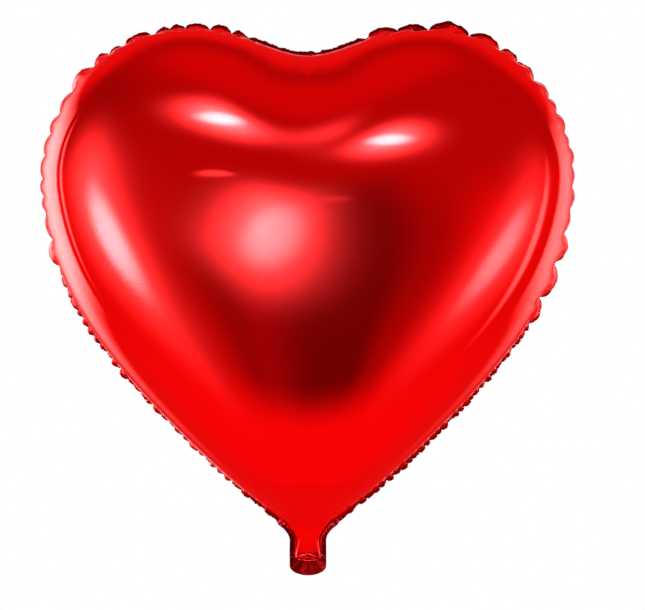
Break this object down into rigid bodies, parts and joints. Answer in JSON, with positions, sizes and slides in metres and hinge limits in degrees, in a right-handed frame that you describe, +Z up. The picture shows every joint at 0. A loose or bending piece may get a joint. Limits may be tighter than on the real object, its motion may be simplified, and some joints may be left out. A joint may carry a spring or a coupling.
{
  "type": "heart-shaped foil balloon",
  "caption": "Inflated heart-shaped foil balloon in red mirror film, with a sealed and puckered rim, a flat filling tail and a self-sealing valve inside it.",
  "frame": {"origin": "middle of the flat tail, where a ribbon is tied round it, in the plane in which the two panels are sealed", "axes": "+Z up from the tail to the heart's lobes, -Y out of the front panel, +X to the right as seen from the front"},
  "size_m": [0.38, 0.216, 0.391],
  "materials": {
    "red_foil": "mirror-smooth metallised film with a clear red face",
    "valve_film": "milky thin polyethylene film"
  },
  "bodies": {
    "root": {"front_foil": "red_foil", "back_foil": "red_foil", "valve_front_film": "valve_film", "valve_back_film": "valve_film"}
  },
  "joints": []
}
